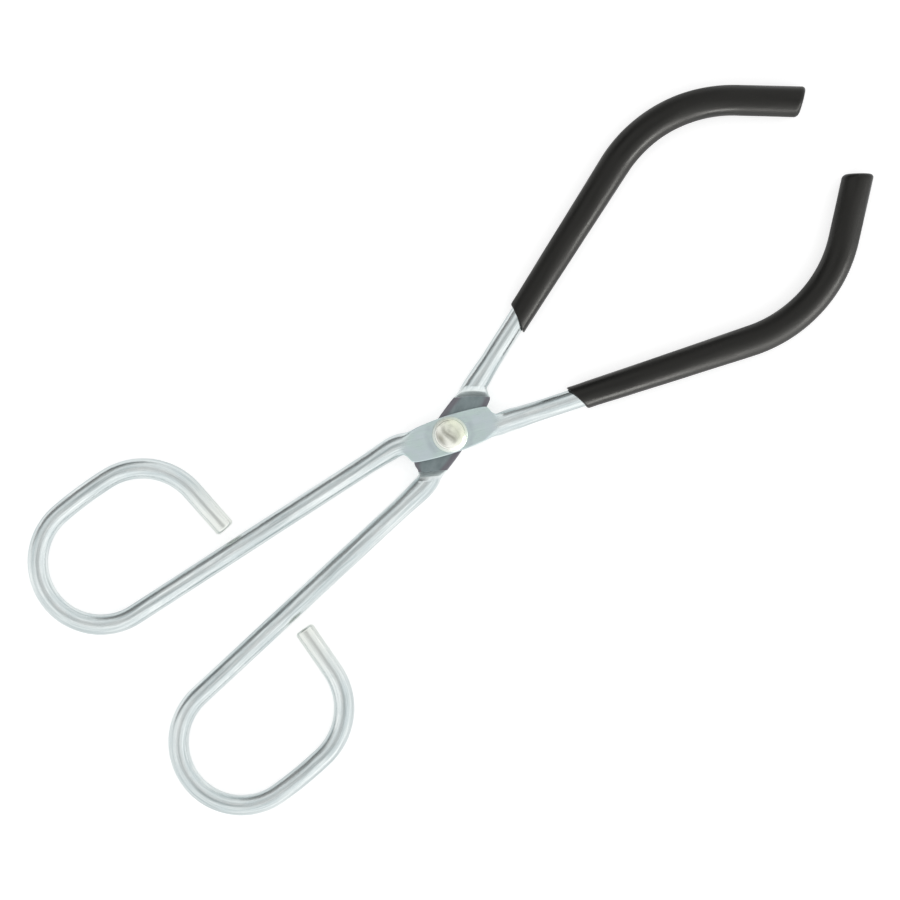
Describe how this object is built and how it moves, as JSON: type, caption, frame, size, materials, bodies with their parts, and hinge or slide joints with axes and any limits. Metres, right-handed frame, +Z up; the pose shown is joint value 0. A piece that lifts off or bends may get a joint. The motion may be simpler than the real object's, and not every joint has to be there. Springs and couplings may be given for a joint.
{
  "type": "beaker tongs",
  "caption": "Scissor-action beaker tongs of bent plated rod with open finger loops, a lapped riveted pivot and black dipped sleeves on the inturned jaws.",
  "frame": {"origin": "on the rivet's axis, at the flat face of its lower head, which is the lowest level of the tongs lying flat", "axes": "+X along the centre line from the rivet to the jaws, +Y to the side of the front arm's finger loop, +Z up, towards the domed rivet head"},
  "size_m": [0.2672, 0.1094, 0.0096],
  "materials": {
    "plated_rod": "bright zinc or nickel plate, faintly drawn along the rod",
    "rivet": "bright, slightly warm, lightly peened",
    "sleeve": "semi-gloss dip-moulded vinyl"
  },
  "bodies": {
    "back_half": {"back_arm": "plated_rod", "pivot_rivet": "rivet", "back_jaw_sleeve": "sleeve"},
    "front_half": {"front_arm": "plated_rod", "front_jaw_sleeve": "sleeve"}
  },
  "joints": [
    {"name": "pivot", "type": "hinge", "parent": "back_half", "child": "front_half", "pos_m": [0, 0, 0.00455], "axis": [0, 0, -1], "range_deg": [-8.7, 88]}
  ]
}
